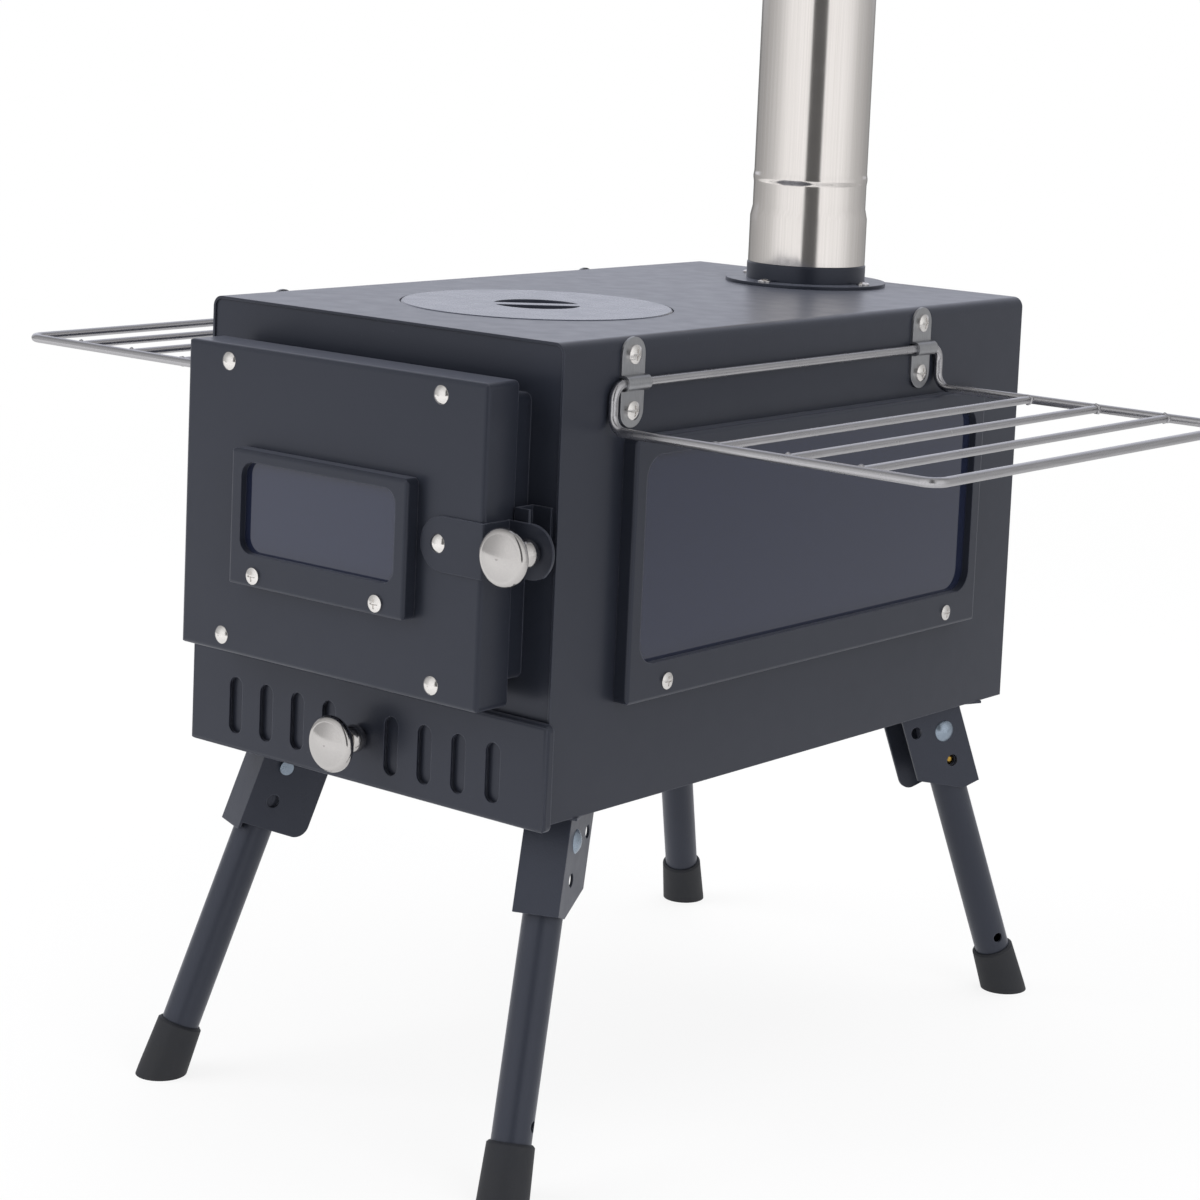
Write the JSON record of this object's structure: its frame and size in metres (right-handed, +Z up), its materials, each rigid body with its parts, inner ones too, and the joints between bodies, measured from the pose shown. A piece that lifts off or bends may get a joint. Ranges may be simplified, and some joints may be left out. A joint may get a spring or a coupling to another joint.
{
  "type": "camping wood stove",
  "caption": "Portable sheet-metal wood stove with a hinged door, ash drawer, glass side windows, folding side racks, folding legs, cooking lid and a flue pipe section.",
  "frame": {"origin": "on the ground, below the middle of the stove's width and of its front-to-back reach", "axes": "+Z up, the door faces -Y, +X is to the right of someone who faces the door"},
  "size_m": [0.646, 0.5124, 0.808],
  "materials": {
    "black_paint": "satin high-temperature paint",
    "dark_glass": "smoked ceramic glass",
    "bright_steel": "polished stainless steel",
    "pipe_steel": "satin stainless steel",
    "zinc": "bluish zinc plate",
    "brass": "bright brass",
    "rubber": "matt black rubber"
  },
  "bodies": {
    "stove": {"firebox_shell": "black_paint", "front_panel": "black_paint", "back_panel": "black_paint", "base_panel": "black_paint", "fire_grate": "black_paint", "grate_rails": "black_paint", "latch_keeper": "black_paint", "hinge_leaves_body": "black_paint", "hinge_pins": "bright_steel", "side_window_frame_left": "black_paint", "side_window_frame_right": "black_paint", "side_glass_left": "dark_glass", "side_glass_right": "dark_glass", "side_window_screws_left": "bright_steel", "side_window_screws_right": "bright_steel", "rack_clips_left": "black_paint", "rack_clips_right": "black_paint", "rack_clip_screws_left": "bright_steel", "rack_clip_screws_right": "bright_steel", "flue_collar": "black_paint", "flue_collar_screws": "bright_steel", "leg_bracket_front_left": "black_paint", "leg_bracket_front_right": "black_paint", "leg_bracket_back_left": "black_paint", "leg_bracket_back_right": "black_paint", "leg_pivot_bolts": "zinc"},
    "door": {"door_panel": "black_paint", "door_liner": "black_paint", "door_window_frame": "black_paint", "door_glass": "dark_glass", "door_window_screws": "bright_steel", "door_rivets": "bright_steel", "hinge_leaves_door": "black_paint", "latch_strap": "black_paint", "latch_strap_rivet": "bright_steel"},
    "latch": {"latch_knob": "bright_steel", "latch_tongue": "black_paint"},
    "drawer": {"ash_tray": "black_paint", "drawer_front": "black_paint", "drawer_knob": "bright_steel"},
    "lid": {"cook_lid": "black_paint"},
    "pipe": {"flue_pipe": "pipe_steel"},
    "rack_l": {"rack_left": "bright_steel"},
    "rack_r": {"rack_right": "bright_steel"},
    "leg_front_left": {"leg_tube_front_left": "black_paint", "foot_cap_front_left": "rubber"},
    "pin_front_left": {"lock_pin_front_left": "brass"},
    "leg_front_right": {"leg_tube_front_right": "black_paint", "foot_cap_front_right": "rubber"},
    "pin_front_right": {"lock_pin_front_right": "brass"},
    "leg_back_left": {"leg_tube_back_left": "black_paint", "foot_cap_back_left": "rubber"},
    "pin_back_left": {"lock_pin_back_left": "brass"},
    "leg_back_right": {"leg_tube_back_right": "black_paint", "foot_cap_back_right": "rubber"},
    "pin_back_right": {"lock_pin_back_right": "brass"}
  },
  "joints": [
    {"name": "door_hinge", "type": "hinge", "parent": "stove", "child": "door", "pos_m": [-0.11, -0.21874, 0.332], "axis": [0, 0, -1], "range_deg": [0, 120]},
    {"name": "latch_turn", "type": "hinge", "parent": "door", "child": "latch", "pos_m": [0.1233, -0.22674, 0.3313], "axis": [0, 1, 0], "range_deg": [0, 90]},
    {"name": "drawer_slide", "type": "slide", "parent": "stove", "child": "drawer", "axis": [0, -1, 0], "range_m": [0, 0.3]},
    {"name": "lid_lift", "type": "slide", "parent": "stove", "child": "lid", "axis": [0, 0, 1], "range_m": [0, 0.045]},
    {"name": "pipe_lift", "type": "slide", "parent": "stove", "child": "pipe", "axis": [0, 0, 1], "range_m": [0, 0.06]},
    {"name": "rack_left_fold", "type": "hinge", "parent": "stove", "child": "rack_l", "pos_m": [-0.1278, -0.02474, 0.411], "axis": [0, 1, 0], "range_deg": [0, 135]},
    {"name": "rack_right_fold", "type": "hinge", "parent": "stove", "child": "rack_r", "pos_m": [0.1278, -0.02474, 0.411], "axis": [0, -1, 0], "range_deg": [0, 135]},
    {"name": "leg_front_left_fold", "type": "hinge", "parent": "stove", "child": "leg_front_left", "pos_m": [-0.101, -0.17474, 0.1715], "axis": [0.9205, -0.3907, 0], "range_deg": [0, 110.4]},
    {"name": "pin_front_left_slide", "type": "slide", "parent": "leg_front_left", "child": "pin_front_left", "axis": [-0.9205, 0.3907, 0], "range_m": [0, 0.003]},
    {"name": "leg_front_right_fold", "type": "hinge", "parent": "stove", "child": "leg_front_right", "pos_m": [0.101, -0.17474, 0.1715], "axis": [0.9205, 0.3907, 0], "range_deg": [0, 110.4]},
    {"name": "pin_front_right_slide", "type": "slide", "parent": "leg_front_right", "child": "pin_front_right", "axis": [0.9205, 0.3907, 0], "range_m": [0, 0.003]},
    {"name": "leg_back_left_fold", "type": "hinge", "parent": "stove", "child": "leg_back_left", "pos_m": [-0.101, 0.18326, 0.1715], "axis": [-0.9205, -0.3907, 0], "range_deg": [0, 110.4]},
    {"name": "pin_back_left_slide", "type": "slide", "parent": "leg_back_left", "child": "pin_back_left", "axis": [-0.9205, -0.3907, 0], "range_m": [0, 0.003]},
    {"name": "leg_back_right_fold", "type": "hinge", "parent": "stove", "child": "leg_back_right", "pos_m": [0.101, 0.18326, 0.1715], "axis": [-0.9205, 0.3907, 0], "range_deg": [0, 110.4]},
    {"name": "pin_back_right_slide", "type": "slide", "parent": "leg_back_right", "child": "pin_back_right", "axis": [0.9205, -0.3907, 0], "range_m": [0, 0.003]}
  ]
}
